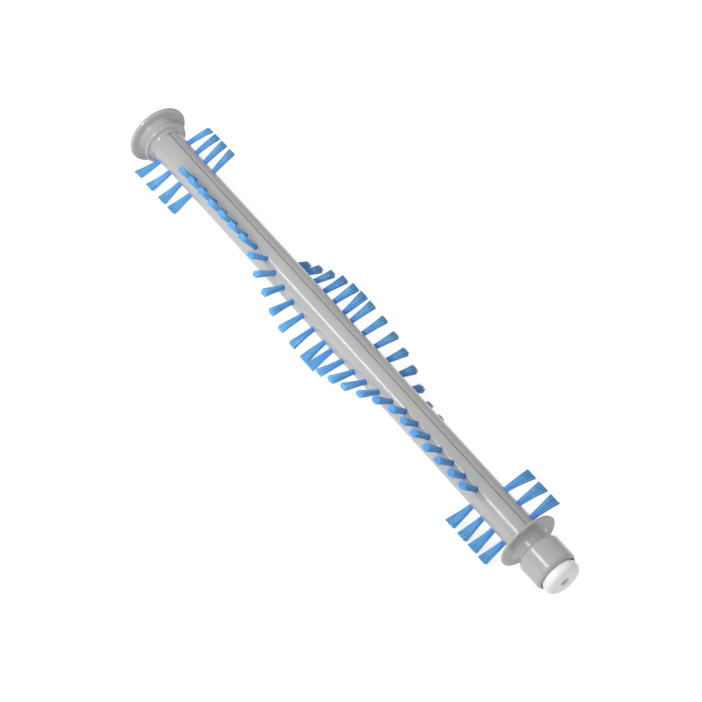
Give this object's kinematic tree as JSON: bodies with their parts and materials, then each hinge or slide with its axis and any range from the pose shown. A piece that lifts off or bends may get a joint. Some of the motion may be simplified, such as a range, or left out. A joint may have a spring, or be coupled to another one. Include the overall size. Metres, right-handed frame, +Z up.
{
  "type": "vacuum roller brush",
  "caption": "Slim roller brush with waved rows of fanned tufts, a flanged drive cap with a hexagonal socket, and a cupped ball bearing with a fixed end bush.",
  "frame": {"origin": "on the spin axis, halfway along the roller", "axes": "+X along the spin axis towards the end bush, +Z up through the top seam as the roller lies on its tufts"},
  "size_m": [0.294, 0.0398, 0.0302],
  "materials": {
    "bar_plastic": "moulded grey plastic with a soft satin gloss",
    "tuft_nylon": "blue nylon filament, cut flat at the tips",
    "bush_plastic": "moulded off-white plastic",
    "axle_steel": "ground steel",
    "bearing_steel": "polished bearing steel",
    "anchor_wire": "flat brass-coated wire",
    "cage_plastic": "natural nylon",
    "felt": "black pressed felt"
  },
  "bodies": {
    "end_bearing": {"end_bush": "bush_plastic", "bearing_outer_ring": "bearing_steel", "shield_inboard": "bearing_steel", "shield_outboard": "bearing_steel"},
    "roller": {"drive_end_cap": "bar_plastic", "bar_shell_front": "bar_plastic", "bar_shell_back": "bar_plastic", "axle": "axle_steel", "near_flange": "bar_plastic", "bearing_cup": "bar_plastic", "tufts_front_far": "tuft_nylon", "tufts_front_wave_far": "tuft_nylon", "tufts_front_wave_near": "tuft_nylon", "tufts_front_near": "tuft_nylon", "tufts_back_far": "tuft_nylon", "tufts_back_wave_far": "tuft_nylon", "tufts_back_wave_near": "tuft_nylon", "tufts_back_near": "tuft_nylon", "tufts_upper_far": "tuft_nylon", "tufts_lower_far": "tuft_nylon", "tufts_upper_near": "tuft_nylon", "tufts_lower_near": "tuft_nylon", "anchors_front": "anchor_wire", "anchors_back": "anchor_wire", "bearing_inner_ring": "bearing_steel", "axle_clip": "axle_steel", "felt_washer": "felt"},
    "ball_set": {"bearing_balls": "bearing_steel", "bearing_cage": "cage_plastic"}
  },
  "joints": [
    {"name": "roller_spin", "type": "hinge", "parent": "end_bearing", "child": "roller", "pos_m": [0.1384, 0, 0], "axis": [1, 0, 0], "continuous": true},
    {"name": "ball_set_spin", "type": "hinge", "parent": "end_bearing", "child": "ball_set", "pos_m": [0.1384, 0, 0], "axis": [1, 0, 0], "continuous": true}
  ],
  "couplings": [
    {"joint": "ball_set_spin", "follows": "roller_spin", "ratio": 0.3647}
  ]
}
